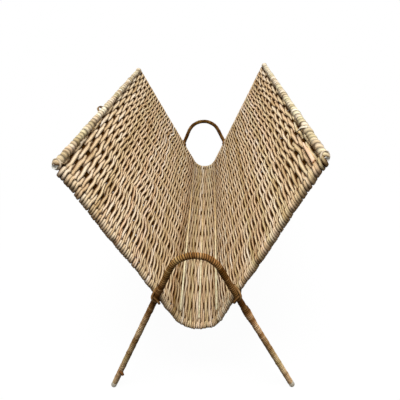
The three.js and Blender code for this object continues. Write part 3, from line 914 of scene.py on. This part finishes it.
def turned(name, profile, start, axis, sides, material, slot, nodes):
    """A profile of (distance along, radius) turned round an axis, closed at both ends."""
    axis = unit(np.array(axis, float))
    first = unit(np.cross(axis, (0.3, 0.1, 1.0) if abs(axis[2]) < 0.9 else (1.0, 0.2, 0.0)))
    second = np.cross(axis, first)
    rings = ellipse(sides)
    around = rings[:, 0, None] * first + rings[:, 1, None] * second
    vertices = np.array([np.array(start) + along * axis + radius * direction
                         for along, radius in profile for direction in around])
    return make_piece(name, vertices, tube_faces(len(profile), sides), material, nodes)


def rounded_rod(length, radius, steps=5):
    angles = np.linspace(0.1, math.pi / 2, steps)
    tip = [(radius * 0.55 * (1 - math.cos(math.pi / 2 - a)), radius * math.sin(a)) for a in angles]
    return tip + [(length - along, r) for along, r in reversed(tip)]


def build_rods():
    length = SLING_LENGTH + 13 * MM
    for side, sideways in SIDES:
        start = (sideways * RAIL_SPACING / 2, -length / 2, RAIL_HEIGHT)
        turned(f"{side}_rail_core", rounded_rod(length, ROD), start, (0, 1, 0), 20, TIP,
               "steel_rod", [f"{side}_rail_rod"])
    for node_name in ("bottom_wire_left", "bottom_wire_centre", "bottom_wire_right"):
        low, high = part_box(node_name)
        radius = (high.x - low.x) / 2
        start = ((low.x + high.x) / 2, low.y, (low.z + high.z) / 2)
        turned(node_name + "_round", rounded_rod(high.y - low.y, radius, 4), start, (0, 1, 0), 14,
               WIRE, "pale_wire", [node_name])


def build_caps():
    for end, endways in ENDS:
        lean = HOOPS[end].lean
        for side, sideways in SIDES:
            axis = np.array((-sideways * math.sin(lean), 0, math.cos(lean)))
            foot = np.array((sideways * FOOT_SPACING / 2, endways * HOOP_Y, 0))
            radius = CAP_RADIUS
            low = radius * math.sin(lean)
            angles = np.linspace(0.05, 1, 6) * math.pi / 2
            profile = [(low - radius * 0.45 * math.cos(a), radius * math.sin(a)) for a in angles]
            profile += [(CAP_LENGTH - 0.6 * MM, radius * 0.99), (CAP_LENGTH, radius * 0.9),
                        (CAP_LENGTH + 0.1 * MM, ROD)]
            piece = turned(f"foot_{end}_{side}", profile, foot, axis, 24, CAP, "foot_cap",
                           [f"foot_cap_{end}_{side}"])
            points = np.array([v.co for v in piece.data.vertices])
            points[:, 2] = np.maximum(points[:, 2], 0)
            piece.data.vertices.foreach_set("co", points.astype(np.float32).ravel())


build_weave()
build_stakes()
build_rails()
build_leg_wraps()
build_lashings()
build_loose_ends()
build_rods()
build_caps()

for name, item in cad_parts.items():
    if name.endswith("_v_rod") or name.endswith("_leg_hoop"):
        item.data.materials.clear()
        item.data.materials.append(STEEL)


# Floor, light and camera

FLOOR_HALF = 6.0
FLOOR_GREY = 0.16


def seen_share(tree):
    """1 for a ray that makes floor or sky seen, straight or reflected, and 0 for one that
    lights the rack."""
    path = node(tree, "ShaderNodeLightPath")
    seen = calc(tree, "MAXIMUM", path.outputs["Is Camera Ray"], path.outputs["Is Glossy Ray"])
    return calc(tree, "MAXIMUM", seen, path.outputs["Is Transmission Ray"])


def build_floor():
    mesh = bpy.data.meshes.new("floor")
    corners = [(x * FLOOR_HALF, y * FLOOR_HALF, 0) for x, y in ((-1, -1), (1, -1), (1, 1), (-1, 1))]
    mesh.from_pydata(corners, [], [(0, 1, 2, 3)])
    floor = bpy.data.objects.new("floor", mesh)
    bpy.context.scene.collection.objects.link(floor)
    material = bpy.data.materials.new("pale_floor")
    material.use_nodes = True
    tree = material.node_tree
    tree.nodes.clear()
    seen = seen_share(tree)
    grey = (FLOOR_GREY, FLOOR_GREY, FLOOR_GREY, 1)
    tint = mixed(tree, seen, grey, (0.95, 0.95, 0.95, 1))
    matt = node(tree, "ShaderNodeBsdfDiffuse", {"Color": tint})
    white = node(tree, "ShaderNodeEmission", {"Color": (1, 1, 1, 1), "Strength": 1.0})
    place = node(tree, "ShaderNodeTexCoord").outputs["Object"]
    away = node(tree, "ShaderNodeVectorMath", {0: place}, operation="LENGTH").outputs["Value"]
    white_share = node(tree, "ShaderNodeMapRange", {
        "Value": away, "From Min": 0.3, "From Max": 0.8, "To Min": 0.965, "To Max": 1.0,
    }).outputs["Result"]
    share = calc(tree, "MULTIPLY", seen, white_share)
    surface = node(tree, "ShaderNodeMixShader", {
        0: share, 1: matt.outputs[0], 2: white.outputs[0],
    })
    node(tree, "ShaderNodeOutputMaterial", {"Surface": surface.outputs[0]})
    mesh.materials.append(material)


def build_world(low, high):
    """A soft sky, its light rising from low at the horizon to high overhead."""
    world = bpy.data.worlds.new("studio")
    bpy.context.scene.world = world
    world.use_nodes = True
    tree = world.node_tree
    tree.nodes.clear()
    direction = node(tree, "ShaderNodeTexCoord").outputs["Generated"]
    upward = node(tree, "ShaderNodeSeparateXYZ", {"Vector": direction}).outputs["Z"]
    sky = spread(tree, upward, low, high)
    level = node(tree, "ShaderNodeMapRange", {
        "Value": seen_share(tree), "To Min": sky, "To Max": 1.0,
    })
    back = node(tree, "ShaderNodeBackground", {"Color": WHITE, "Strength": level.outputs[0]})
    node(tree, "ShaderNodeOutputWorld", {"Surface": back.outputs[0]})


def area_light(name, place, target, size, power):
    data = bpy.data.lights.new(name, "AREA")
    data.shape = "DISK"
    data.size = size
    data.energy = power
    light = bpy.data.objects.new(name, data)
    light.location = place
    light.rotation_mode = "QUATERNION"
    aim = Vector(target) - Vector(place)
    light.rotation_quaternion = aim.to_track_quat("-Z", "Y")
    bpy.context.scene.collection.objects.link(light)


def build_camera():
    focal, pitch, yaw, roll = 377.68, 0.512195, -0.051036, -0.048395
    picture, sensor = 400, 36.0
    forward = Vector((math.cos(pitch) * math.sin(yaw), math.cos(pitch) * math.cos(yaw),
                      -math.sin(pitch)))
    level = Vector((math.cos(yaw), -math.sin(yaw), 0))
    down = Vector((-math.sin(pitch) * math.sin(yaw), -math.sin(pitch) * math.cos(yaw),
                   -math.cos(pitch)))
    right = math.cos(roll) * level - math.sin(roll) * down
    below = math.sin(roll) * level + math.cos(roll) * down
    data = bpy.data.cameras.new("camera")
    data.sensor_fit = "HORIZONTAL"
    data.sensor_width = sensor
    data.lens = focal * sensor / picture
    data.clip_start = 0.01
    camera = bpy.data.objects.new("camera", data)
    turn = Matrix((right, -below, -forward)).transposed()
    camera.matrix_world = Matrix.Translation((0.0253, -0.5538, 0.4589)) @ turn.to_4x4()
    bpy.context.scene.collection.objects.link(camera)
    bpy.context.scene.camera = camera


build_floor()
build_world(0.1, 0.7)
area_light("key", (0.0, -0.5, 1.7), (0, 0, 0.2), 0.8, 29)
build_camera()
bpy.context.scene.view_settings.view_transform = "Standard"
